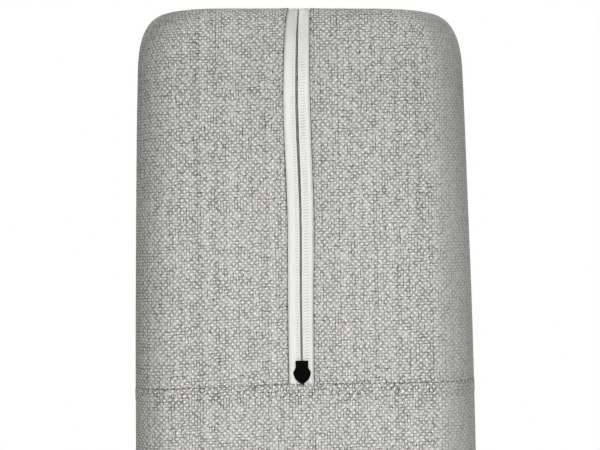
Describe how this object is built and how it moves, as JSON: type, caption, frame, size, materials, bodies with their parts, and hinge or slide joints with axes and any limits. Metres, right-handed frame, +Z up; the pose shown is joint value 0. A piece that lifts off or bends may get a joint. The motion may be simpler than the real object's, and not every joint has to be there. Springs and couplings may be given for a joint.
{
  "type": "smart speaker",
  "caption": "Tall rounded-square smart speaker in a light grey woven cover with a rear zip, a turning volume ring and push buttons on top, and connectors low at the rear.",
  "frame": {"origin": "on the ground, under the middle of the foot", "axes": "+Z up, the front faces -Y, the zip and the connectors face +Y"},
  "size_m": [0.1422, 0.1433, 0.2325],
  "materials": {
    "cover_cloth": "light grey melange plain weave",
    "zip_tape": "off-white woven tape",
    "black_metal": "black enamelled zinc",
    "black_plastic": "fine moulded texture",
    "dark_plastic": "plain moulded",
    "rubber": "matt",
    "foam": "closed-cell foam",
    "steel": "plain",
    "zinc": "zinc plated or die cast",
    "ferrite": "sintered",
    "aluminium": "satin",
    "cone_paper": "pressed paper pulp",
    "spider_cloth": "impregnated cotton",
    "silk": "coated silk",
    "board_green": "solder mask",
    "board_black": "solder mask",
    "copper_wrap": "tape wrap",
    "diffuser": "opal",
    "gloss_black": "polished",
    "lead_grey": "PVC sleeve"
  },
  "bodies": {
    "root": {"cover_sleeve": "cover_cloth", "cover_band": "cover_cloth", "zip_tape_left": "zip_tape", "zip_tape_right": "zip_tape", "grille_frame": "dark_plastic", "rubber_foot": "rubber", "base_tray": "black_plastic", "base_screw_1": "zinc", "base_screw_2": "zinc", "base_screw_3": "zinc", "base_screw_4": "zinc", "connector_panel": "black_plastic", "power_inlet": "black_plastic", "av_socket": "zinc", "cabinet_floor": "dark_plastic", "bottom_gasket": "foam", "top_gasket": "foam", "cabinet_tube": "dark_plastic", "cabinet_lid": "dark_plastic", "lid_screw_1": "zinc", "lid_screw_2": "zinc", "lid_screw_3": "zinc", "lid_screw_4": "zinc", "woofer_basket": "zinc", "woofer_top_plate": "steel", "woofer_magnet": "ferrite", "woofer_yoke": "steel", "woofer_surround": "rubber", "woofer_spider": "spider_cloth", "tweeter_left_body": "black_plastic", "tweeter_right_body": "black_plastic", "radiator_left_frame": "black_plastic", "radiator_left_surround": "rubber", "radiator_right_frame": "black_plastic", "radiator_right_surround": "rubber", "psu_board": "board_green", "transformer": "copper_wrap", "capacitor": "black_plastic", "amplifier_board": "board_black", "heat_sink": "aluminium", "main_board": "board_black", "shield_can": "steel", "ribbon_cable": "lead_grey", "speaker_lead": "lead_grey", "mains_lead": "lead_grey", "top_deck": "black_plastic", "control_board": "board_black", "button_carrier": "dark_plastic", "light_ring": "diffuser", "touch_plate": "gloss_black"},
    "slider": {"zip_slider": "black_metal"},
    "pull": {"zip_pull": "black_metal"},
    "ring": {"volume_ring": "aluminium"},
    "mute": {"mute_button": "dark_plastic"},
    "action": {"action_button": "dark_plastic"},
    "cone": {"woofer_cone": "cone_paper"},
    "dome_left": {"tweeter_left_dome": "silk"},
    "dome_right": {"tweeter_right_dome": "silk"},
    "mass_left": {"radiator_left_plate": "aluminium"},
    "mass_right": {"radiator_right_plate": "aluminium"}
  },
  "joints": [
    {"name": "zip_slide", "type": "slide", "parent": "root", "child": "slider", "axis": [0, -0.0185, 0.9998], "range_m": [0, 0.118]},
    {"name": "pull_hinge", "type": "hinge", "parent": "slider", "child": "pull", "pos_m": [0.0011, 0.07156, 0.08313], "axis": [-1, 0, 0], "range_deg": [0, 165]},
    {"name": "volume_turn", "type": "hinge", "parent": "root", "child": "ring", "pos_m": [0, 0, 0.2256], "axis": [0, 0, 1], "continuous": true},
    {"name": "mute_press", "type": "slide", "parent": "root", "child": "mute", "axis": [0, 0, -1], "range_m": [0, 0.0007], "stiffness_N_per_m": 400, "springref_m": -0.001},
    {"name": "action_press", "type": "slide", "parent": "root", "child": "action", "axis": [0, 0, -1], "range_m": [0, 0.0007], "stiffness_N_per_m": 400, "springref_m": -0.001},
    {"name": "cone_travel", "type": "slide", "parent": "root", "child": "cone", "axis": [0, -1, 0], "range_m": [-0.004, 0.004], "stiffness_N_per_m": 1400},
    {"name": "dome_left_travel", "type": "slide", "parent": "root", "child": "dome_left", "axis": [0, -1, 0], "range_m": [-0.0003, 0.0003], "stiffness_N_per_m": 600},
    {"name": "dome_right_travel", "type": "slide", "parent": "root", "child": "dome_right", "axis": [0, -1, 0], "range_m": [-0.0003, 0.0003], "stiffness_N_per_m": 600},
    {"name": "radiator_left_travel", "type": "slide", "parent": "root", "child": "mass_left", "axis": [-1, 0, 0], "range_m": [-0.003, 0.003], "stiffness_N_per_m": 1500},
    {"name": "radiator_right_travel", "type": "slide", "parent": "root", "child": "mass_right", "axis": [1, 0, 0], "range_m": [-0.003, 0.003], "stiffness_N_per_m": 1500}
  ]
}
